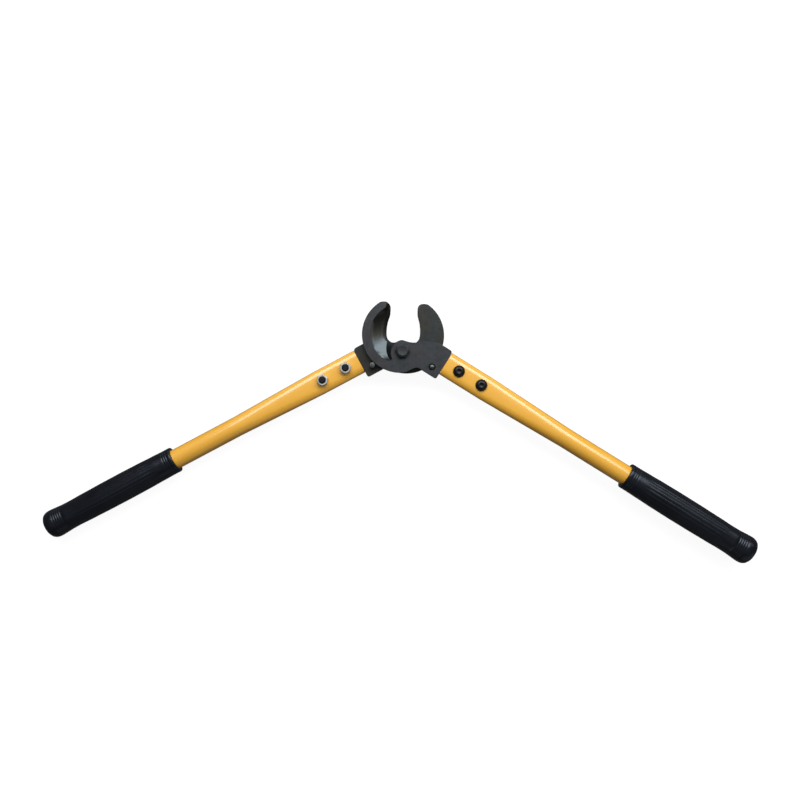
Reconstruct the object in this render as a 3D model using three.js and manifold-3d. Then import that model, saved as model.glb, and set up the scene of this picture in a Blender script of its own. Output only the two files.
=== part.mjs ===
// Two-handed cable cutter, lying open. Millimetres: X across the handles, Y towards the jaws, Z up.
// The pivot's axis is Z, and the origin is the flat lower end of the pivot bolt.
// Both halves are the same parts: the rear half is the front half turned over about Y.
import * as THREE from "three";
import { mergeVertices } from "three/addons/utils/BufferGeometryUtils.js";
import Module from "manifold-3d";

const wasm = await Module();
wasm.setup();

// Blades
const midHeight = 25; // the plane on which the blades slide over each other
const runningGap = 0.1; // each blade's distance from that plane
const bladeThick = 9.9;
const backCentre = [-3.9, 20.6]; // circle of the jaw's back
const backRadius = 47.3;
const hubCentre = [2.5, -2.5]; // flat island round the pivot, where the hollow grinding stops
const hubRadius = 16.9;
const hubFlare = 1.4; // how far its flank spreads for each millimetre down
const hollowCurve = 1.15; // 1 would make the grinding a plain cone, and more makes it hollow
const facetHeight = 3.2; // blade left under the hollow, where the edge's facet starts
const facetWide = 3.3;
const edgeLand = 0.5; // thickness left at the cutting edge
const leadInPlace = [-20.2, 56.5]; // bevel on the sliding face that lets the tips pass each other
const leadInTurn = 25; // the way it faces, in degrees from X
const leadInSlope = 13;

// Handles. Their own frame has X along the handle from the pivot, and Y across it.
const handleAngle = -Math.PI / 6; // below the line across the tool
const axisOffset = 15.2; // from the pivot to the tube's axis
const shoulderEnd = 53.4;
const shoulderLow = -7.3;
const shoulderHigh = 32.2;
const tongueEnd = 118;
const tongueHalf = 10.4;
const tubeStart = 53.8;
const tubeFlatEnd = 112;
const tubeRoundStart = 228;
const tubeEnd = 488;
const tubeRadius = 12.5;
const tubeWall = 1.5;
const tubeFlatHalf = 15.5; // half the flattened end's width
const screwPlaces = [72.6, 105];
const gripStart = 315;

// Fasteners
const holeGap = 0.3; // between a shank and its hole
const screwRadius = 4;
const pinRadius = 3.6;
const pinPlace = [37.1, -18.7];
const boltRadius = 5;

const steelDark = material("#43464a", 0.38, 0.9);
const steelBright = material("#8d9296", 0.35, 0.95);
const zinc = material("#b9bcbd", 0.32, 0.95);
const blackOxide = material("#17181a", 0.42, 0.6);
const tubePaint = material("#eeb23c", 0.28, 0.0);
const gripRubber = material("#15171c", 0.5, 0.0);

function material(color, roughness, metalness) {
  return new THREE.MeshStandardMaterial({ color, roughness, metalness });
}

// A closed three.js geometry as a solid, without the flat triangles at a lathe's axis.
function solid(geometry) {
  const bare = new THREE.BufferGeometry();
  bare.setAttribute("position", geometry.getAttribute("position"));
  bare.setIndex(geometry.index);
  const merged = mergeVertices(bare, 1e-4);
  const index = merged.index.array;
  const kept = [];
  for (let i = 0; i < index.length; i += 3) {
    const [a, b, c] = index.subarray(i, i + 3);
    if (a !== b && b !== c && c !== a) kept.push(a, b, c);
  }
  return new wasm.Manifold(
    new wasm.Mesh({
      numProp: 3,
      vertProperties: merged.attributes.position.array,
      triVerts: new Uint32Array(kept),
    }),
  );
}

function named(name, body, look) {
  const { vertProperties, triVerts } = body.getMesh();
  const geometry = new THREE.BufferGeometry();
  geometry.setAttribute("position", new THREE.BufferAttribute(vertProperties, 3));
  geometry.setIndex(new THREE.BufferAttribute(triVerts, 1));
  const mesh = new THREE.Mesh(geometry, look);
  mesh.name = name;
  return mesh;
}

// A profile of [radius, height] turned about Z.
function turned(profile, segments = 28) {
  const points = profile.map(([r, z]) => new THREE.Vector2(r, z));
  return solid(new THREE.LatheGeometry(points, segments).rotateX(Math.PI / 2));
}

function cylinder(radius, low, high) {
  return turned([[0, low], [radius, low], [radius, high], [0, high]]);
}

function ring(inner, outer, low, high) {
  return turned([[inner, low], [outer, low], [outer, high], [inner, high], [inner, low]]);
}

function prism(points, low, high) {
  const shape = new THREE.Shape(points);
  const geometry = new THREE.ExtrudeGeometry(shape, { depth: high - low, bevelEnabled: false });
  return solid(geometry.translate(0, 0, low));
}

// A hexagon across its flats, with a corner pointing along Y.
function hexagon(acrossFlats) {
  const corner = acrossFlats / Math.sqrt(3);
  return Array.from({ length: 6 }, (_, i) => {
    const angle = Math.PI / 2 + (i * Math.PI) / 3;
    return new THREE.Vector2(corner * Math.cos(angle), corner * Math.sin(angle));
  });
}

function arc([x, y], radius, from, to, steps) {
  return Array.from({ length: steps + 1 }, (_, i) => {
    const angle = THREE.MathUtils.degToRad(from + ((to - from) * i) / steps);
    return new THREE.Vector2(x + radius * Math.cos(angle), y + radius * Math.sin(angle));
  });
}

function spline(points, steps) {
  return new THREE.SplineCurve(points.map(([x, y]) => new THREE.Vector2(x, y))).getPoints(steps);
}

// Closed rings of points, each joined to the next and the last to the first.
function ringLoft(rings) {
  const count = rings[0].length;
  const index = [];
  for (let i = 0; i < rings.length; i++) {
    const here = i * count;
    const next = ((i + 1) % rings.length) * count;
    for (let j = 0; j < count; j++) {
      const k = (j + 1) % count;
      index.push(here + j, next + k, next + j, here + j, here + k, next + k);
    }
  }
  const geometry = new THREE.BufferGeometry().setFromPoints(rings.flat());
  return solid(geometry.setIndex(index));
}

// A block with a flat top whose underside goes through the grid's points.
function slab(grid, top) {
  const rows = grid.length;
  const columns = grid[0].length;
  const under = grid.flat();
  const over = under.map((p) => new THREE.Vector3(p.x, p.y, top));
  const at = (i, j, level) => level * rows * columns + i * columns + j;
  const index = [];
  const quad = (a, b, c, d) => index.push(a, b, c, a, c, d);
  for (let i = 0; i < rows - 1; i++) {
    for (let j = 0; j < columns - 1; j++) {
      quad(at(i, j, 0), at(i, j + 1, 0), at(i + 1, j + 1, 0), at(i + 1, j, 0));
      quad(at(i, j, 1), at(i + 1, j, 1), at(i + 1, j + 1, 1), at(i, j + 1, 1));
    }
    const last = columns - 1;
    quad(at(i, 0, 0), at(i + 1, 0, 0), at(i + 1, 0, 1), at(i, 0, 1));
    quad(at(i + 1, last, 0), at(i, last, 0), at(i, last, 1), at(i + 1, last, 1));
  }
  for (let j = 0; j < columns - 1; j++) {
    const last = rows - 1;
    quad(at(0, j + 1, 0), at(0, j, 0), at(0, j, 1), at(0, j + 1, 1));
    quad(at(last, j, 0), at(last, j + 1, 0), at(last, j + 1, 1), at(last, j, 1));
  }
  const geometry = new THREE.BufferGeometry().setFromPoints([...under, ...over]);
  return solid(geometry.setIndex(index));
}

// A point given along and across the handle, in the blade's frame.
function onHandle([x, y]) {
  return new THREE.Vector2(x, y).rotateAround(new THREE.Vector2(), handleAngle);
}

// The blade's outline, anticlockwise from its tip: jaw's back, shoulder, tongue, throat, cutting edge.
function bladeOutline() {
  const lowCorner = arc([shoulderEnd - 2.5, shoulderLow + 2.5], 2.5, -90, 0, 6);
  const highCorner = arc([shoulderEnd - 4, shoulderHigh - 4], 4, 0, 90, 6);
  const tongue = [
    [shoulderEnd, axisOffset - tongueHalf],
    [tongueEnd - 3, axisOffset - tongueHalf],
    [tongueEnd, axisOffset - tongueHalf + 3],
    [tongueEnd, axisOffset + tongueHalf - 3],
    [tongueEnd - 3, axisOffset + tongueHalf],
    [shoulderEnd, axisOffset + tongueHalf],
  ];
  const tang = [...lowCorner.map((p) => [p.x, p.y]), ...tongue, ...highCorner.map((p) => [p.x, p.y])];
  return [
    ...arc(backCentre, backRadius, 122.9, 280.9, 44),
    ...spline([[9, -23.7], [13, -21.8], [17, -20.2], [19.5, -20.1], [22, -21]], 8),
    ...tang.map(onHandle),
    ...spline([[48.5, 9.2], [44, 11], [38, 12.1], [30, 12.6], [20, 11.5], [12, 10.9], [6, 11.8],
      [2, 13], [-2, 13.6], [-6, 12.1], [-9, 10.6], [-12, 10.2], [-14.6, 11], [-17.3, 12.9],
      [-19.4, 15.5], [-20.6, 19.5], [-20.9, 25], [-20.6, 30], [-19.8, 35.5], [-18.6, 40],
      [-17.2, 44.6], [-16.8, 50], [-16.8, 54], [-17.4, 57], [-19.2, 59.4], [-22.3, 60.7],
      [-26, 60.9]], 78),
  ];
}

// What the grinding wheel takes off the jaw: a hollow from the rim to the edge, with a facet at the edge.
// Each station is a point on the hollow's outer line and the point of the cutting edge across from it.
function grinding() {
  const stations = [
    [[-21.4, 62], [-15.6, 62]],
    [[-21.9, 58], [-16.4, 58]],
    [[-22.4, 55], [-16.5, 54.5]],
    [[-24.6, 52.2], [-16.7, 50.5]],
    [[-28.4, 49.3], [-16.9, 46.8]],
    [[-32.2, 45.4], [-17.6, 43]],
    [[-35.7, 41], [-18.8, 39]],
    [[-38.7, 35.5], [-19.9, 34]],
    [[-40.6, 29], [-20.6, 28.5]],
    [[-41.1, 22], [-20.8, 22.5]],
    [[-40.2, 13.5], [-20, 16.8]],
    [[-37.8, 4.8], [-17.6, 12.8]],
    [[-33.7, -1.3], [-14.5, 10.7]],
    [[-28.5, -6.6], [-11, 5]],
    [[-23.5, -10.1], [-8, 0]],
    [[-19, -12.3], [-6, -2]],
    [[-15, -12.4], [-5, -4]],
    [[-11.5, -10.5], [-4, -6]],
  ];
  const outer = new THREE.SplineCurve(stations.map(([p]) => new THREE.Vector2(...p)));
  const edge = new THREE.SplineCurve(stations.map(([, p]) => new THREE.Vector2(...p)));
  const rows = 36;
  const grid = Array.from({ length: rows + 1 }, (_, i) => {
    const from = outer.getPoint(i / rows);
    const to = edge.getPoint(i / rows);
    const facetStart = 1 - Math.min(0.6, facetWide / from.distanceTo(to));
    const place = (along, height) => {
      const p = from.clone().lerp(to, along);
      return new THREE.Vector3(p.x, p.y, height);
    };
    const row = [];
    for (let j = 0; j <= 8; j++) {
      const height = facetHeight + (bladeThick - facetHeight) * Math.pow(1 - j / 8, hollowCurve);
      row.push(place((facetStart * j) / 8, height));
    }
    row.push(place(1, edgeLand));
    row.push(place(1.2, edgeLand));
    return row;
  });
  const hubFoot = hubRadius + hubFlare * bladeThick;
  const hub = turned([[0, 0], [hubFoot, 0], [hubRadius, bladeThick], [hubRadius, 12], [0, 12]], 64);
  return slab(grid, 11).subtract(hub.translate(...hubCentre, 0));
}

// The blade lies with its flat sliding face at height 0.
function makeBlade() {
  let blade = prism(bladeOutline(), 0, bladeThick);
  blade = blade.subtract(grinding());
  const square = [[0, -12], [12, -12], [12, 12], [0, 12]].map((p) => new THREE.Vector2(...p));
  const leadIn = prism(square, -6, 0).rotate([0, -leadInSlope, 0]).rotate([0, 0, leadInTurn]);
  blade = blade.subtract(leadIn.translate(...leadInPlace, 0));
  blade = blade.subtract(cylinder(boltRadius + holeGap, -1, 12));
  for (const place of screwPlaces) {
    const { x, y } = onHandle([place, axisOffset]);
    blade = blade.subtract(cylinder(screwRadius + holeGap, -1, 12).translate(x, y, 0));
  }
  const hole = pinRadius + holeGap;
  const pinHole = turned([[0, -1], [hole, -1], [hole, 9.4], [hole + 0.8, 10.2], [0, 10.2]]);
  return blade.subtract(pinHole.translate(...pinPlace, 0));
}

// Pressed in the tang with its domed end just proud, it stands out past the sliding face.
function makeStopPin() {
  const r = pinRadius;
  const dome = [[r, 9.2], [r - 0.3, 9.9], [r - 1, 10.5], [r - 2.2, 10.9], [0, 11.1]];
  const profile = [[0, -8.4], [r - 0.4, -8.4], [r, -8], ...dome];
  return turned(profile).translate(...pinPlace, 0);
}

// A section of the tube: two flat sides joined by half circles, which grow into the full circle.
function tubeSection(x, halfWide, inset) {
  const halfHigh = (Math.PI * tubeRadius - 2 * halfWide) / (Math.PI - 2);
  const radius = halfHigh - inset;
  const straight = Math.max(halfWide - halfHigh, 0.05);
  const points = [];
  for (const side of [0, 1]) {
    for (let i = 0; i <= 12; i++) {
      const angle = -Math.PI / 2 + (i * Math.PI) / 12 + side * Math.PI;
      const across = (side ? -straight : straight) + radius * Math.cos(angle);
      points.push(new THREE.Vector3(x, axisOffset + across, radius * Math.sin(angle)));
    }
  }
  return points;
}

function makeTube() {
  const places = [tubeStart, tubeFlatEnd];
  for (let i = 1; i <= 8; i++) places.push(tubeFlatEnd + ((tubeRoundStart - tubeFlatEnd) * i) / 8);
  places.push(tubeEnd);
  const halfWide = (x) => THREE.MathUtils.mapLinear(
    THREE.MathUtils.clamp(x, tubeFlatEnd, tubeRoundStart),
    tubeFlatEnd, tubeRoundStart, tubeFlatHalf, tubeRadius,
  );
  const outside = places.map((x) => tubeSection(x, halfWide(x), 0));
  const inside = places.map((x) => tubeSection(x, halfWide(x), tubeWall)).reverse();
  let tube = ringLoft([...outside, ...inside]);
  for (const place of screwPlaces) {
    tube = tube.subtract(cylinder(screwRadius + holeGap, -10, 10).translate(place, axisOffset, 0));
  }
  return tube;
}

// A sleeve closed at its far end, with ribs behind the mouth and at the end's bulb.
function makeGrip() {
  const bore = tubeRadius + holeGap;
  const groove = (x, radius) => [[radius, x - 0.9], [radius - 0.6, x], [radius, x + 0.9]];
  const profile = [
    [0, 489],
    [bore, 489],
    [bore, gripStart],
    [16, gripStart],
    [16.5, gripStart + 0.8],
    ...[320.3, 323.1, 325.9].flatMap((x) => groove(x, 16.6)),
    [16.9, 341],
    [17.4, 362],
    [17.6, 385],
    [17.5, 410],
    [17.1, 440],
    [16.6, 458],
    [16.6, 465],
    ...[468.6, 471.4, 474.2, 477, 479.8].flatMap((x, i) => groove(x, 16.75 + 0.22 * i)),
    [17.8, 484],
    [17.6, 488],
    [16.2, 491.5],
    [13.2, 494.2],
    [9, 495.6],
    [4, 496],
    [0, 496],
  ];
  const points = profile.map(([r, x]) => new THREE.Vector2(r, x));
  const geometry = new THREE.LatheGeometry(points, 32);
  return solid(geometry.rotateZ(-Math.PI / 2).translate(0, axisOffset, 0));
}

// Button-head screw: the head's underside is at height 0 and the shank hangs below it.
function makeScrew(length) {
  const r = screwRadius;
  const head = [[7.4, 0], [7.4, 0.6], [6.9, 2], [5.6, 3.4], [3.8, 4.3], [0, 4.4]];
  const shank = [[0, -length], [r - 0.9, -length], [r, 0.9 - length], [r, 0]];
  return turned([...shank, ...head]).subtract(prism(hexagon(5), 1.9, 5));
}

// Hexagon with the corners cut off by a cone at its top, and at its foot too if it is a nut.
function hexBody(acrossFlats, height, faceRadius, bothEnds) {
  const corner = acrossFlats / Math.sqrt(3) + 0.2;
  const drop = (corner - faceRadius) * 0.58;
  const foot = bothEnds ? [[faceRadius, 0], [corner, drop]] : [[corner, 0]];
  const cone = turned([[0, 0], ...foot, [corner, height - drop], [faceRadius, height], [0, height]], 24);
  return prism(hexagon(acrossFlats), 0, height).intersect(cone);
}

function makeNut(acrossFlats, height, shankRadius) {
  return hexBody(acrossFlats, height, acrossFlats * 0.47, true)
    .subtract(cylinder(shankRadius + holeGap, -1, height + 1));
}

// One half of the cutter, with its sliding face at height 0 and its outer face up.
const blade = makeBlade();
const stopPin = makeStopPin();
const tube = makeTube();
const grip = makeGrip();
const tubeHalfHigh = (Math.PI * tubeRadius - 2 * tubeFlatHalf) / (Math.PI - 2);
const nutHeight = 6.5;
const screw = makeScrew(2 * tubeHalfHigh + nutHeight + 2.2);
const nut = makeNut(13, nutHeight, screwRadius);

function half(layer, side) {
  const handle = new THREE.Group();
  handle.rotation.z = handleAngle;
  handle.position.z = bladeThick / 2;
  handle.add(named(side + "_tube", tube, tubePaint));
  handle.add(named(side + "_grip", grip, gripRubber));
  screwPlaces.forEach((place, i) => {
    const which = ["inner", "outer"][i];
    const down = -tubeHalfHigh - nutHeight - 0.1;
    const up = tubeHalfHigh + 0.1;
    handle.add(named(side + "_screw_" + which, screw.translate(place, axisOffset, up), blackOxide));
    handle.add(named(side + "_nut_" + which, nut.translate(place, axisOffset, down), zinc));
  });
  const whole = new THREE.Group();
  whole.add(named(layer + "_blade", blade, steelDark));
  whole.add(named(layer + "_stop_pin", stopPin, steelBright));
  whole.add(handle);
  return whole;
}

const frontHalf = half("front", "right");
frontHalf.position.z = midHeight + runningGap;
const rearHalf = half("rear", "left");
rearHalf.rotation.y = Math.PI;
rearHalf.position.z = midHeight - runningGap;

// Pivot, from the bolt's end at height 0: nut, split spring washer, plain washer, both blades, head.
const bladeTop = midHeight + runningGap + bladeThick;
const shankProfile = [[0, 0], [boltRadius - 0.9, 0], [boltRadius, 0.9], [boltRadius, bladeTop + 0.3]];
const boltHead = hexBody(16, 6.4, 6.6, false).translate(0, 0, bladeTop + 0.1);
const pivotBolt = turned([...shankProfile, [0, bladeTop + 0.3]], 48).add(boltHead);
const pivotNut = makeNut(16, 8, boltRadius).translate(0, 0, 2.3);
const slit = prism([[-0.4, -10], [0.4, -10], [0.4, -4], [-0.4, -4]].map((p) => new THREE.Vector2(...p)), 9, 14);
const springWasher = ring(boltRadius + holeGap, 9, 10.4, 12.7).subtract(slit);
const plainWasher = ring(boltRadius + holeGap, 10, 12.8, 14.9);

const group = new THREE.Group();
group.add(frontHalf, rearHalf);
group.add(named("pivot_bolt", pivotBolt, steelDark));
group.add(named("pivot_nut", pivotNut, zinc));
group.add(named("pivot_spring_washer", springWasher, zinc));
group.add(named("pivot_washer", plainWasher, zinc));

export default group;
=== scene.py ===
import math

import bmesh
import bpy
from mathutils import Matrix, Quaternion, Vector


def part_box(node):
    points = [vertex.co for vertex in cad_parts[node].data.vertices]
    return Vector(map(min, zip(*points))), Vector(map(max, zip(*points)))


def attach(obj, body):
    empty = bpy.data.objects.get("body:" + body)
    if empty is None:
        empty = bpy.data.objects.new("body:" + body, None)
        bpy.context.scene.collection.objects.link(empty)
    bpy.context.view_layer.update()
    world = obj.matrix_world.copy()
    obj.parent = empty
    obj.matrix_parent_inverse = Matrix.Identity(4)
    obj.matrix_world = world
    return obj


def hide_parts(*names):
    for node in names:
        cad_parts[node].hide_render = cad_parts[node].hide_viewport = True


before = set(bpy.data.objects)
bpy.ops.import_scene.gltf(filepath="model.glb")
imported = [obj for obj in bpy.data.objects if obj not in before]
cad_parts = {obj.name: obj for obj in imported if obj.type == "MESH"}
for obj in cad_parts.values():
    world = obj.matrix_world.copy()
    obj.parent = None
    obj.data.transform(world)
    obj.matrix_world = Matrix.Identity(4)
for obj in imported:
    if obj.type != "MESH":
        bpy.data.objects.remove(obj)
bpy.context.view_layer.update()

# ---------------------------------------------------------------------------
# The stage: a white cove that the cutter lies on, a large window light behind
# the jaws with a glow along the horizon under it, a strip of light across
# each handle, a weak fill in front, a dim ceiling, and a camera looking down.
# ---------------------------------------------------------------------------
camera_lens = bpy.data.cameras.new("camera")
camera_lens.sensor_width = 36.0
camera_lens.lens = 36.67
camera_lens.clip_end = 20.0
camera = bpy.data.objects.new("camera", camera_lens)
camera.location = (0.0124, -0.0938, 1.042)
camera.rotation_euler = (0.0331, 0.0123, 0.0343)
bpy.context.scene.collection.objects.link(camera)
bpy.context.scene.camera = camera
bpy.context.scene.view_settings.view_transform = "Standard"

daylight = (0.95, 0.98, 1.0)


def soft_light(name, location, size, power, roll=0):
    """A rectangle of light, aimed at the pivot and rolled about its own axis, in degrees."""
    light = bpy.data.lights.new(name, "AREA")
    light.shape = "RECTANGLE"
    light.size, light.size_y = size
    light.energy = power
    light.color = daylight
    lamp = bpy.data.objects.new(name, light)
    lamp.location = location
    aim = (-Vector(location)).to_track_quat("-Z", "Y")
    lamp.rotation_euler = (aim @ Quaternion((0, 0, 1), math.radians(roll))).to_euler()
    bpy.context.scene.collection.objects.link(lamp)


soft_light("window_light", (0.1, 1.2, 1.7), size=(3.0, 1.2), power=61)
soft_light("horizon_glow", (0, 1.9, -0.12), size=(3.6, 0.9), power=8)
soft_light("right_strip", (0.93, 0.58, 0.76), size=(1.1, 0.25), power=1.7, roll=34)
soft_light("left_strip", (-0.82, 0.82, 0.68), size=(0.6, 0.25), power=0.8, roll=-36)
soft_light("front_fill", (1.1, -1.6, 0.5), size=(2.4, 1.2), power=2.5)
soft_light("ceiling_light", (0, 0, 2.6), size=(3.6, 3.6), power=8)

world = bpy.data.worlds.new("room")
world.use_nodes = True
room_light = world.node_tree.nodes["Background"].inputs
room_light["Color"].default_value = (1, 1, 1, 1)
room_light["Strength"].default_value = 0.09
bpy.context.scene.world = world


def new_finish(name, **sockets):
    """A material with its principled shader's sockets set, and that shader."""
    finish = bpy.data.materials.new(name)
    finish.use_nodes = True
    shader = finish.node_tree.nodes["Principled BSDF"]
    for key, value in sockets.items():
        shader.inputs[key.replace("_", " ")].default_value = value
    return finish, shader


def turned(profile, steps, joined=0.0001):
    """A profile of (radius, height) spun about Z. It ends on the axis or on itself, or stays
    open, and points nearer than joined are one."""
    bm = bmesh.new()
    closed = profile[0] == profile[-1]
    points = profile[:-1] if closed else profile
    verts = [bm.verts.new((radius, 0, height)) for radius, height in points]
    edges = [bm.edges.new(pair) for pair in zip(verts, verts[1:])]
    if closed:
        edges.append(bm.edges.new((verts[-1], verts[0])))
    bmesh.ops.spin(bm, geom=verts + edges, cent=(0, 0, 0), axis=(0, 0, 1), angle=2 * math.pi,
                   steps=steps, use_merge=True)
    bmesh.ops.remove_doubles(bm, verts=bm.verts, dist=joined)
    bmesh.ops.recalc_face_normals(bm, faces=bm.faces)
    return bm


def as_object(name, bm, finishes):
    """An object at the origin from a finished bmesh."""
    mesh = bpy.data.meshes.new(name)
    bm.to_mesh(mesh)
    bm.free()
    made = bpy.data.objects.new(name, mesh)
    for finish in finishes:
        mesh.materials.append(finish)
    bpy.context.scene.collection.objects.link(made)
    return made


cove_paint, _ = new_finish("cove_paint", Base_Color=(0.15, 0.15, 0.15, 1), Roughness=0.9,
                           Emission_Color=(1, 1, 1, 1), Emission_Strength=0.93)
cove_profile = [(0, 0), (5, 0), (6.2, 0.3), (6.9, 1.0), (7.2, 2.2), (7.2, 5)]
cove_mesh = turned(cove_profile, 48)
bmesh.ops.reverse_faces(cove_mesh, faces=cove_mesh.faces)
cove = as_object("cove", cove_mesh, [cove_paint])
cove.visible_diffuse = False
cove.visible_glossy = False
cove.visible_shadow = False


# ---------------------------------------------------------------------------
# The two blades: drop-forged tool steel, blackened in heat treatment, then
# hollow ground from the outer face to the cutting edge. The same forging is
# used twice, turned over, and the sliding faces lie against each other.
# ---------------------------------------------------------------------------
def node(finish, kind, inputs=None, **settings):
    """Adds a node; an input may be a value or another node's output."""
    made = finish.node_tree.nodes.new(kind)
    for key, value in settings.items():
        setattr(made, key, value)
    for key, value in (inputs or {}).items():
        if isinstance(value, bpy.types.NodeSocket):
            join(finish, value, made.inputs[key])
        else:
            made.inputs[key].default_value = value
    return made


def join(finish, output, socket):
    finish.node_tree.links.new(output, socket)


def math_of(finish, operation, *values):
    """One Math node's result."""
    return node(finish, "ShaderNodeMath", dict(enumerate(values)), operation=operation).outputs[0]


def place_of(finish, scale=(1, 1, 1), turn=0.0, centre=(0, 0, 0)):
    """The point on the piece, in metres, moved from a centre, turned about Z and scaled."""
    there = node(finish, "ShaderNodeTexCoord").outputs["Object"]
    moved = node(finish, "ShaderNodeVectorMath", {0: there, 1: centre}, operation="SUBTRACT")
    mapping = node(finish, "ShaderNodeMapping",
                   {"Vector": moved.outputs[0], "Rotation": (0, 0, turn), "Scale": scale})
    return mapping.outputs["Vector"]


def noise(finish, where, scale, detail=3.0, roughness=0.5):
    made = node(finish, "ShaderNodeTexNoise",
                {"Vector": where, "Scale": scale, "Detail": detail, "Roughness": roughness})
    return made.outputs["Fac"]


def spread(finish, value, low, high, to_low=0.0, to_high=1.0):
    """A value stretched from one range to another, and held inside it."""
    made = node(finish, "ShaderNodeMapRange",
                {"Value": value, "From Min": low, "From Max": high,
                 "To Min": to_low, "To Max": to_high})
    return made.outputs["Result"]


def blend_colors(finish, share, first, second):
    made = node(finish, "ShaderNodeMix", {"Factor": share}, data_type="RGBA")
    for socket, value in zip(made.inputs[6:8], (first, second)):
        if isinstance(value, bpy.types.NodeSocket):
            join(finish, value, socket)
        else:
            socket.default_value = (*value, 1)
    return made.outputs[2]


def bumped(finish, shader, height, depth, strength):
    made = node(finish, "ShaderNodeBump",
                {"Height": height, "Distance": depth, "Strength": strength})
    join(finish, made.outputs["Normal"], shader.inputs["Normal"])


def blade_flat_finish(name, blue, brown):
    """Blackened steel: a cloudy tint, a faint lay from the linisher and a fine tooth."""
    finish, shader = new_finish(name, Metallic=0.6)
    where = place_of(finish)
    cloud = spread(finish, noise(finish, where, scale=38, detail=4), 0.38, 0.62)
    tint = blend_colors(finish, cloud, blue, brown)
    stain = spread(finish, noise(finish, where, scale=150, detail=4, roughness=0.6), 0.3, 0.7,
                   to_low=0.78, to_high=1.18)
    color = node(finish, "ShaderNodeVectorMath", {0: tint, 1: stain}, operation="MULTIPLY")
    join(finish, color.outputs[0], shader.inputs["Base Color"])
    brushed = place_of(finish, scale=(150, 1700, 150), turn=0.35)
    lay = noise(finish, brushed, scale=1, detail=3, roughness=0.6)
    join(finish, spread(finish, lay, 0.25, 0.75, to_low=0.34, to_high=0.5),
         shader.inputs["Roughness"])
    grain = noise(finish, where, scale=1300, detail=2)
    bumped(finish, shader, math_of(finish, "ADD", lay, grain), depth=0.00003, strength=0.35)
    return finish


def blade_ground_finish(name, centre):
    """Ground steel: the wheel's marks run round the jaw, and the colour turns darker and browner
    towards the tip, painted shade of the hollow's upper part, which faces away from the light.
    """
    finish, shader = new_finish(name, Metallic=1.0)
    parts = node(finish, "ShaderNodeSeparateXYZ", {0: place_of(finish, centre=centre)}).outputs
    x, y = math_of(finish, "ABSOLUTE", parts["X"]), parts["Y"]
    squares = [math_of(finish, "MULTIPLY", v, v) for v in (x, y)]
    reach = math_of(finish, "SQRT", math_of(finish, "ADD", *squares))
    angle = math_of(finish, "ARCTAN2", y, x)
    along = node(finish, "ShaderNodeCombineXYZ", {"X": reach, "Y": angle}).outputs[0]
    round_the_jaw = node(finish, "ShaderNodeMapping", {"Vector": along, "Scale": (2600, 7, 1)})
    marks = noise(finish, round_the_jaw.outputs[0], scale=1, detail=2, roughness=0.6)
    cloud = noise(finish, place_of(finish), scale=60, detail=3)
    # bright is the hollow's lit colour; towards the tip it gives way to brown, a darker painted
    # shade where the upper hollow faces away from the light.
    bright = blend_colors(finish, cloud, (0.046, 0.055, 0.059), (0.067, 0.078, 0.083))
    brown = (0.056, 0.054, 0.0485)
    painted_tip_shade = spread(finish, angle, -0.36, -0.14)
    join(finish, blend_colors(finish, painted_tip_shade, bright, brown), shader.inputs["Base Color"])
    join(finish, spread(finish, marks, 0.2, 0.8, to_low=0.27, to_high=0.35),
         shader.inputs["Roughness"])
    bumped(finish, shader, marks, depth=0.00002, strength=0.2)
    return finish


def worn_edge_finish():
    """Edges rubbed through the blackening in patches."""
    finish, shader = new_finish("worn_edge", Metallic=1.0, Roughness=0.34)
    patches = noise(finish, place_of(finish), scale=260, detail=4, roughness=0.65)
    worn = spread(finish, patches, 0.45, 0.62)
    dark, rubbed = (0.035, 0.037, 0.039), (0.12, 0.124, 0.127)
    join(finish, blend_colors(finish, worn, dark, rubbed), shader.inputs["Base Color"])
    return finish


worn_edge = worn_edge_finish()
# The rear blade's tints are darker than the front's: painted shade of the blade that lies lower,
# under the front one. Its browner hue is its own tone.
flat_tints_and_shade = {
    "front": ((0.0365, 0.0395, 0.0445), (0.04, 0.0375, 0.039)),
    "rear": ((0.0255, 0.0285, 0.0278), (0.0272, 0.025, 0.02)),
}
grind_centre = {"front": (-0.0025, 0.022, 0), "rear": (0.0025, 0.022, 0)}

# All in metres, but for the leans, which are a face's share of upright.
blade_joined, blade_sliver, on_face, wall_height = 0.00012, 0.00005, 0.00002, 0.005
edge_rounding = 0.00035
ground_lean, flat_lean = 0.12, 0.9985
rounded_corner, shaded_corner, flat_seam = (math.radians(a) for a in (55, 26, 1))

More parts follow.
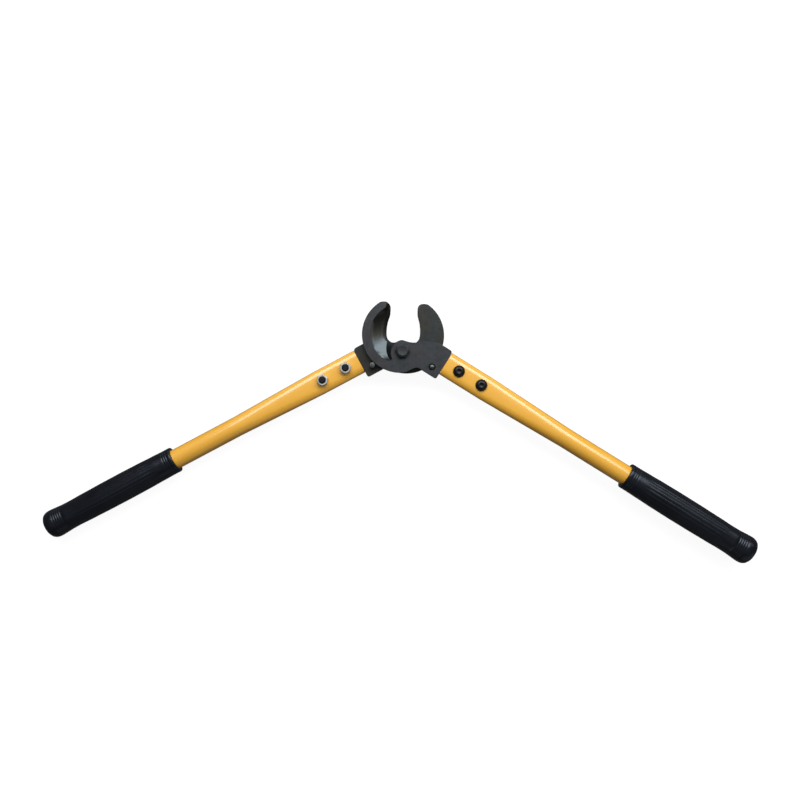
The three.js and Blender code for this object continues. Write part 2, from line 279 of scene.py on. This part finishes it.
for layer in ("front", "rear"):
    name = layer + "_blade"
    low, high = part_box(name)
    outer, sliding = (high.z, low.z) if layer == "front" else (low.z, high.z)
    up = 1 if layer == "front" else -1
    bm = bmesh.new()
    bm.from_mesh(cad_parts[name].data)
    bmesh.ops.remove_doubles(bm, verts=bm.verts, dist=blade_joined)
    bmesh.ops.dissolve_degenerate(bm, edges=bm.edges, dist=blade_sliver)
    bmesh.ops.dissolve_limit(bm, angle_limit=flat_seam, verts=bm.verts, edges=bm.edges)
    # The outer face's rim is rounded all round, the sliding face's only under a full wall,
    # so that the cutting edge stays sharp.
    corners = []
    for edge in bm.edges:
        if not edge.is_manifold or edge.calc_face_angle() < rounded_corner:
            continue
        at_outer = all(abs(v.co.z - outer) < on_face for v in edge.verts)
        at_sliding = all(abs(v.co.z - sliding) < on_face for v in edge.verts)
        heights = [[v.co.z for v in face.verts] for face in edge.link_faces]
        tall = any(max(zs) - min(zs) > wall_height for zs in heights)
        if at_outer or (at_sliding and tall):
            corners.append(edge)
    rounded = bmesh.ops.bevel(bm, geom=corners, offset=edge_rounding, offset_type="OFFSET",
                              segments=2, profile=0.5, affect="EDGES", clamp_overlap=True,
                              material=-1)
    edge_faces = set(rounded["faces"])
    for face in bm.faces:
        face.smooth = True
        if face in edge_faces:
            face.material_index = 2
        elif ground_lean < face.normal.z * up < flat_lean:
            face.material_index = 1
    for edge in bm.edges:
        if edge.is_manifold and edge.calc_face_angle() > shaded_corner:
            edge.smooth = False
    finishes = [blade_flat_finish(layer + "_blade_flat", *flat_tints_and_shade[layer]),
                blade_ground_finish(layer + "_blade_ground", grind_centre[layer]), worn_edge]
    blade = as_object(layer + "_blade_forging", bm, finishes)
    even = blade.modifiers.new("even_normals", "WEIGHTED_NORMAL")
    even.keep_sharp = True
    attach(blade, layer + "_half")
    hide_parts(name)


# ---------------------------------------------------------------------------
# The stop pins: turned steel, pressed through each blade beside its handle and
# standing out on the other blade's side, where they meet the other blade as the
# handles reach their widest. The outer end is a low dome.
# ---------------------------------------------------------------------------
# From here on a piece is made in millimetres, then scaled and put in its place.
from_mm = Matrix.Scale(0.001, 4)
turned_over = Matrix.Rotation(math.pi, 4, "Y")
half_places = {
    "front": Matrix.Translation((0, 0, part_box("front_blade")[0].z)),
    "rear": Matrix.Translation((0, 0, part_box("rear_blade")[1].z)) @ turned_over,
}


def finished(name, bm, finish, place, body, replaced, sharp=30):
    """Scales a piece, puts it in its place and binds it to the frame; corners over sharp
    degrees stay crisp."""
    for face in bm.faces:
        face.smooth = True
    for edge in bm.edges:
        if edge.is_manifold and edge.calc_face_angle() > math.radians(sharp):
            edge.smooth = False
    bmesh.ops.transform(bm, matrix=place @ from_mm, verts=bm.verts)
    made = as_object(name, bm, [finish])
    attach(made, body)
    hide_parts(replaced)
    return made


def bright_steel_finish(name, tint, rough, metallic=1.0):
    """Turned or plated steel, speckled darker and rougher."""
    finish, shader = new_finish(name, Metallic=metallic)
    specks = noise(finish, place_of(finish), scale=900, detail=3, roughness=0.6)
    dark = tuple(c * 0.7 for c in tint)
    join(finish, blend_colors(finish, spread(finish, specks, 0.3, 0.6), dark, tint),
         shader.inputs["Base Color"])
    join(finish, spread(finish, specks, 0.3, 0.7, to_low=rough * 0.8, to_high=rough * 1.3),
         shader.inputs["Roughness"])
    bumped(finish, shader, specks, depth=0.00002, strength=0.4)
    return finish


pin_steel = bright_steel_finish("pin_steel", (0.1, 0.105, 0.102), 0.36)
pin_place = Matrix.Translation((0.0371, -0.0187, 0))
pin_profile = [(0, -8.4), (3.05, -8.4), (3.3, -8.33), (3.5, -8.15), (3.6, -7.9), (3.6, -0.05),
               (3.87, 0.2), (3.87, 8.9), (3.6, 9.1), (3.6, 9.3), (3.55, 9.55),
               (3.35, 9.85), (2.95, 10.25), (2.4, 10.6), (1.7, 10.88), (0.9, 11.04), (0, 11.1)]
for layer in ("front", "rear"):
    finished(layer + "_stop_pin_turned", turned(pin_profile, 48), pin_steel,
             half_places[layer] @ pin_place, layer + "_half", layer + "_stop_pin")


# ---------------------------------------------------------------------------
# The pivot: a hexagon bolt with a deep chamfer, blackened like the blades,
# through both blades into a zinc-plated washer, spring washer and nut.
# ---------------------------------------------------------------------------
chamfer_slope = 0.58
thread_flank = 1.35


def hexagon_reach(angle, across_flats):
    """How far a hexagon with a corner on X reaches at an angle."""
    turn = (angle - math.pi / 3) % (math.pi / 3) - math.pi / 6
    return across_flats / 2 / math.cos(turn)


def cut_to_hexagon(bm, across_flats, low, high, beyond):
    """Brings a turned piece's wall in to a hexagon, between two heights and past a radius."""
    for vert in bm.verts:
        reach = math.hypot(vert.co.x, vert.co.y)
        if low <= vert.co.z <= high and reach > beyond:
            limit = hexagon_reach(math.atan2(vert.co.y, vert.co.x), across_flats)
            vert.co.x *= min(1, limit / reach)
            vert.co.y *= min(1, limit / reach)


def thread(bm, radius, pitch, depth, low, high, on_wall=0.01):
    """Winds a thread into the wall of a turned shank."""
    for vert in bm.verts:
        reach = math.hypot(vert.co.x, vert.co.y)
        if low < vert.co.z < high and abs(reach - radius) < on_wall:
            phase = (vert.co.z / pitch - math.atan2(vert.co.y, vert.co.x) / (2 * math.pi)) % 1
            groove = depth * min(1, thread_flank * (1 - abs(2 * phase - 1)))
            vert.co.x *= (radius - groove) / radius
            vert.co.y *= (radius - groove) / radius


def rows(radius, low, high, step):
    """Points up a straight wall, close enough for a thread."""
    count = math.ceil((high - low) / step)
    return [(radius, low + (high - low) * i / count) for i in range(count + 1)]


def chamfer_rows(face_radius, corner_radius, face_height, count=7):
    """Points down a chamfer's cone from the flat face to beyond the hexagon's corners."""
    return [(face_radius + (corner_radius - face_radius) * i / count,
             face_height - chamfer_slope * (corner_radius - face_radius) * i / count)
            for i in range(count + 1)]


bolt_radius, bolt_flats, bolt_corner, head_height, head_dish = 5, 16, 9.45, 6.4, 0.1
bolt_steel = blade_flat_finish("bolt_steel", (0.035, 0.038, 0.041), (0.038, 0.037, 0.037))
head_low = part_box("pivot_bolt")[1].z * 1000 - head_height
head_high = head_low + head_height
bolt_profile = [(0, 0), (3.9, 0), (4.1, 0.1), (bolt_radius, 0.95)]
bolt_profile += rows(bolt_radius, 1.0, 11.0, step=0.19)[1:]
bolt_profile += [(bolt_radius, head_low), (9.3, head_low), (bolt_corner, head_low + 0.3)]
bolt_profile += chamfer_rows(6.1, bolt_corner, head_high)[::-1]
bolt_profile += [(5.85, head_high), (5.3, head_high - head_dish), (0, head_high - head_dish)]
bolt = turned(bolt_profile, 96)
thread(bolt, bolt_radius, pitch=1.5, depth=0.62, low=0.9, high=10.9)
cut_to_hexagon(bolt, bolt_flats, head_low - 0.01, head_high + 0.01, beyond=6.2)
finished("pivot_bolt_turned", bolt, bolt_steel, Matrix.Identity(4), "front_half",
         "pivot_bolt", sharp=20)

zinc = bright_steel_finish("zinc_plate", (0.6, 0.6, 0.585), 0.38, metallic=0.7)


def nut(across_flats, height, bore, bore_chamfer=0.6):
    """A hexagon nut, chamfered on both faces, standing on the origin."""
    corner = across_flats / math.sqrt(3) + 0.2
    top = chamfer_rows(across_flats * 0.47, corner, height)
    foot = [(radius, height - z) for radius, z in top]
    profile = top + foot[::-1] + [(bore + bore_chamfer, 0), (bore, bore_chamfer)]
    profile += rows(bore, bore_chamfer, height - bore_chamfer, step=0.25)[1:]
    profile += [(bore + bore_chamfer, height), top[0]]
    bm = turned(profile, 72)
    cut_to_hexagon(bm, across_flats, -0.01, height + 0.01, beyond=across_flats * 0.475)
    return bm


nut_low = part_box("pivot_nut")[0].z
finished("pivot_nut_turned", nut(16, 8, bore=5.2), zinc, Matrix.Translation((0, 0, nut_low)),
         "front_half", "pivot_nut", sharp=20)

washer_profile = [(5.3, 0.1), (5.5, 0), (9.8, 0), (10, 0.25), (10, 1.85), (9.8, 2.1), (5.5, 2.1),
                  (5.3, 2.0), (5.3, 0.1)]
washer_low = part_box("pivot_washer")[0].z
finished("pivot_washer_turned", turned(washer_profile, 72), zinc,
         Matrix.Translation((0, 0, washer_low)), "front_half", "pivot_washer")

# The spring washer is a coil of square wire, cut through on one side.
wire_section = [(5.4, 0.15), (8.95, 0.15), (8.95, 2.1), (5.4, 2.1)]
coil_sweep, coil_turn = math.radians(353), math.radians(-86)
coil = bmesh.new()
section = [coil.verts.new((x, 0, z)) for x, z in wire_section]
sides = [coil.edges.new(pair) for pair in zip(section, section[1:] + section[:1])]
bmesh.ops.spin(coil, geom=section + sides, cent=(0, 0, 0), axis=(0, 0, 1), angle=coil_sweep,
               steps=70, use_merge=False)
bmesh.ops.holes_fill(coil, edges=[e for e in coil.edges if e.is_boundary], sides=4)
bmesh.ops.recalc_face_normals(coil, faces=coil.faces)
spring_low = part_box("pivot_spring_washer")[0].z
finished("pivot_spring_washer_coil", coil, zinc,
         Matrix.Translation((0, 0, spring_low)) @ Matrix.Rotation(coil_turn, 4, "Z"),
         "front_half", "pivot_spring_washer")


# ---------------------------------------------------------------------------
# The handle tubes: seamed steel tube, pressed flat at the head end to grip the
# blade's tongue, and enamelled in warm yellow.
# ---------------------------------------------------------------------------
axis_offset = 15.2
tube_start, tube_flat_end, tube_round_start, tube_end = 53.55, 112, 228, 488
tube_radius, tube_wall, tube_flat_half = 12.5, 1.5, 15.5
pressed_straight, side_turn = 0.5, 3.2
handle_turn = math.radians(-30)
blade_half_thick = 4.95
# A handle's place has X along it; a turned piece is laid along that by its Z.
handle_places = {
    layer: place @ Matrix.Translation((0, 0, blade_half_thick / 1000))
    @ Matrix.Rotation(handle_turn, 4, "Z") @ Matrix.Translation((0, axis_offset / 1000, 0))
    for layer, place in half_places.items()
}
lay_along = Matrix.Rotation(math.pi / 2, 4, "Y")


def within(value, low, high):
    return min(max(value, low), high)


def half_high_of(half_wide):
    """The pressed tube's half height: its way round stays that of the round tube."""
    return (math.pi * tube_radius - 2 * half_wide) / (math.pi - 2)


def tube_half_wide(along):
    share = within((along - tube_flat_end) / (tube_round_start - tube_flat_end), 0, 1)
    return tube_flat_half + (tube_radius - tube_flat_half) * share


def flatten_tube(bm):
    """Presses the turned tube into its oval section, station by station."""
    for vert in bm.verts:
        angle = math.atan2(vert.co.y, vert.co.x)
        inset = tube_radius - math.hypot(vert.co.x, vert.co.y)
        half_wide = tube_half_wide(vert.co.z)
        half_high = half_high_of(half_wide)
        straight = (half_wide - half_high) * pressed_straight
        side = within(math.sin(angle) * side_turn, -1, 1)
        vert.co.y = side * straight + (half_wide - straight - inset) * math.sin(angle)
        vert.co.x = (half_high - inset) * math.cos(angle)


def enamel_finish():
    """Warm yellow enamel: a slightly uneven tint under a clear gloss, a little orange peel."""
    finish, shader = new_finish("tube_enamel", Roughness=0.4, Coat_Weight=1.0,
                                Coat_Roughness=0.08)
    where = place_of(finish)
    cloud = spread(finish, noise(finish, where, scale=22, detail=3), 0.3, 0.7)
    color = blend_colors(finish, cloud, (0.84, 0.412, 0.034), (0.88, 0.442, 0.043))
    join(finish, color, shader.inputs["Base Color"])
    peel = noise(finish, where, scale=420, detail=2)
    bumped(finish, shader, peel, depth=0.00005, strength=0.2)
    return finish


tube_bore = tube_radius - tube_wall
stations_out = [tube_start + 0.4, 60, 75, 90, 104, 112, 118, 126, 136, 150, 166, 184, 200, 216,
                228, 240, 300, 400, tube_end]
stations_in = [tube_end, 300, 228, 200, 166, 136, 112, 75]
wall_out = [(tube_radius, z) for z in stations_out]
wall_in = [(tube_bore, z) for z in stations_in]
lip = [(tube_bore, tube_start + 0.3), (tube_bore + 0.3, tube_start),
       (tube_radius - 0.4, tube_start)]
enamel = enamel_finish()
for layer, side in (("front", "right"), ("rear", "left")):
    bm = turned(wall_out + wall_in + lip + wall_out[:1], 96)
    flatten_tube(bm)
    finished(side + "_tube_pressed", bm, enamel, handle_places[layer] @ lay_along,
             layer + "_half", side + "_tube", sharp=40)


# ---------------------------------------------------------------------------
# The grips: black moulded sleeves pushed over the tubes, fluted along the hand
# hold, with fine ribs round the mouth and round the swelling at the closed end.
# ---------------------------------------------------------------------------
flutes, flute_depth, flute_sharpness = 22, 0.5, 1.5
hold_start, hold_end, hold_radius = 328, 464, 14
flute_start, flute_end, fade_in, fade_out = 336, 458, 12, 14
rib_width, rib_depth = 1.5, 0.3
rib_section = [(-0.62, 0), (-0.25, 0.75), (0, 1), (0.25, 0.75), (0.62, 0)]
hold_stations = [(328, 16.6), (341, 16.9), (362, 17.4), (385, 17.6), (410, 17.5), (440, 17.1),
                 (458, 16.6), (465, 16.6)]


def eased(share):
    return share * share * (3 - 2 * share)


def ribs(places, first_radius, last_radius):
    """A run of round-bottomed grooves across a profile, at a radius that may grow."""
    points = []
    for i, z in enumerate(places):
        here = first_radius + (last_radius - first_radius) * i / max(1, len(places) - 1)
        points += [(here - rib_depth * down, z + rib_width * along)
                   for along, down in rib_section]
    return points


def grip_reach(z):
    """The hand hold's radius along the grip."""
    for (z0, r0), (z1, r1) in zip(hold_stations, hold_stations[1:]):
        if z <= z1:
            return r0 + (r1 - r0) * eased((z - z0) / (z1 - z0))
    return hold_stations[-1][1]


grip_profile = [(0, 489), (12.8, 489), (12.8, 315.4), (13.1, 315), (15.9, 315), (16.3, 315.25),
                (16.5, 315.8), (16.6, 317.5)]
grip_profile += ribs([320.3, 323.1, 325.9], 16.6, 16.6)
grip_profile += [(grip_reach(z), z) for z in range(328, 466, 3)]
grip_profile += ribs([468.6, 471.4, 474.2, 477, 479.8], 16.75, 17.6)
grip_profile += [(17.75, 482.5), (17.8, 485), (17.55, 488.2), (16.8, 490.6), (15.4, 492.7),
                 (13.2, 494.3), (10.4, 495.3), (7, 495.8), (3.5, 495.97), (0, 496)]


def flute(bm):
    """Presses the flutes into the hand hold, fading at both of its ends."""
    for vert in bm.verts:
        reach = math.hypot(vert.co.x, vert.co.y)
        z = vert.co.z
        if reach < hold_radius or not hold_start < z < hold_end:
            continue
        fade = eased(within((z - flute_start) / fade_in, 0, 1)
                     * within((flute_end - z) / fade_out, 0, 1))
        angle = math.atan2(vert.co.y, vert.co.x)
        valley = (1 - abs(math.sin(angle * flutes / 2))) ** flute_sharpness
        scale = 1 - flute_depth * fade * valley / reach
        vert.co.x *= scale
        vert.co.y *= scale


def rubber_finish():
    """Satin black rubber with a cool sheen and a fine moulded grain."""
    finish, shader = new_finish("grip_rubber", Specular_IOR_Level=0.39,
                                Specular_Tint=(0.78, 0.9, 1, 1), Sheen_Weight=0.02)
    where = place_of(finish)
    cloud = noise(finish, where, scale=30, detail=4)
    color = blend_colors(finish, spread(finish, cloud, 0.3, 0.7), (0.0027, 0.0028, 0.0054),
                         (0.0045, 0.0048, 0.0082))
    join(finish, color, shader.inputs["Base Color"])
    join(finish, spread(finish, cloud, 0.3, 0.7, to_low=0.26, to_high=0.34),
         shader.inputs["Roughness"])
    grain = noise(finish, where, scale=2200, detail=2, roughness=0.7)
    bumped(finish, shader, grain, depth=0.00004, strength=0.25)
    return finish


rubber = rubber_finish()
for layer, side in (("front", "right"), ("rear", "left")):
    bm = turned(grip_profile, 240)
    flute(bm)
    finished(side + "_grip_moulded", bm, rubber, handle_places[layer] @ lay_along,
             layer + "_half", side + "_grip", sharp=50)


# ---------------------------------------------------------------------------
# The handle screws: two blackened button-head socket screws through each tube
# and tongue, and their zinc-plated hexagon nuts.
# ---------------------------------------------------------------------------
screw_places = (72.6, 105)
tube_half_high = half_high_of(tube_flat_half)
nut_height, nut_flats, nut_bore, seat_gap = 6.5, 13, 4.2, 0.1
screw_radius, screw_past_nut = 4, 2.2
screw_length = 2 * tube_half_high + nut_height + screw_past_nut
socket_flats, socket_floor, socket_low, socket_high = 5.0, 1.9, 2.8, 3.2
socket_rim, socket_chamfer = 2.95, 0.1
button_head = [(7.2, 0), (7.4, 0.2), (7.4, 0.55), (7.25, 1.2), (6.9, 1.95), (6.3, 2.7),
               (5.5, 3.4), (4.6, 3.95), (3.9, 4.25), (3.55, 4.38), (3.3, 4.4), (3.0, 4.3),
               (2.9, 4.1), (2.9, 2.0), (1.2, 1.6), (0, 1.4)]


def black_oxide_finish():
    """Black oxide on steel, satin, with a few lighter specks."""
    finish, shader = new_finish("black_oxide", Specular_IOR_Level=0.3)
    specks = noise(finish, place_of(finish), scale=1100, detail=3, roughness=0.6)
    join(finish, blend_colors(finish, spread(finish, specks, 0.4, 0.75), (0.004, 0.004, 0.0045),
                              (0.012, 0.012, 0.013)), shader.inputs["Base Color"])
    join(finish, spread(finish, specks, 0.3, 0.7, to_low=0.28, to_high=0.42),
         shader.inputs["Roughness"])
    bumped(finish, shader, specks, depth=0.00002, strength=0.4)
    return finish


def screw():
    """A screw hanging from its head's seat, with its hexagon socket sunk in the head."""
    profile = [(0, -screw_length), (3.0, -screw_length), (3.15, -screw_length + 0.1),
               (screw_radius, -screw_length + 0.9)]
    profile += rows(screw_radius, -screw_length + 0.95, -2 * tube_half_high, step=0.16)[1:]
    profile += [(screw_radius, 0)] + button_head
    bm = turned(profile, 72)
    thread(bm, screw_radius, pitch=1.25, depth=0.5, low=-screw_length + 0.9,
           high=-2 * tube_half_high - 0.1)
    for vert in bm.verts:
        reach = math.hypot(vert.co.x, vert.co.y)
        if vert.co.z > socket_floor and socket_low < reach < socket_high:
            limit = hexagon_reach(math.atan2(vert.co.y, vert.co.x), socket_flats)
            limit += socket_chamfer if reach > socket_rim else 0
            vert.co.x *= limit / reach
            vert.co.y *= limit / reach
    return bm


black_oxide = black_oxide_finish()
head_seat = (tube_half_high + seat_gap) / 1000
nut_foot = (tube_half_high + nut_height + seat_gap) / 1000
for layer, side in (("front", "right"), ("rear", "left")):
    for which, along in zip(("inner", "outer"), screw_places):
        head = Matrix.Translation((along / 1000, 0, head_seat))
        foot = Matrix.Translation((along / 1000, 0, -nut_foot))
        name = side + "_screw_" + which
        finished(name + "_turned", screw(), black_oxide, handle_places[layer] @ head,
                 layer + "_half", name, sharp=32)
        name = side + "_nut_" + which
        finished(name + "_turned", nut(nut_flats, nut_height, nut_bore), zinc,
                 handle_places[layer] @ foot, layer + "_half", name, sharp=20)
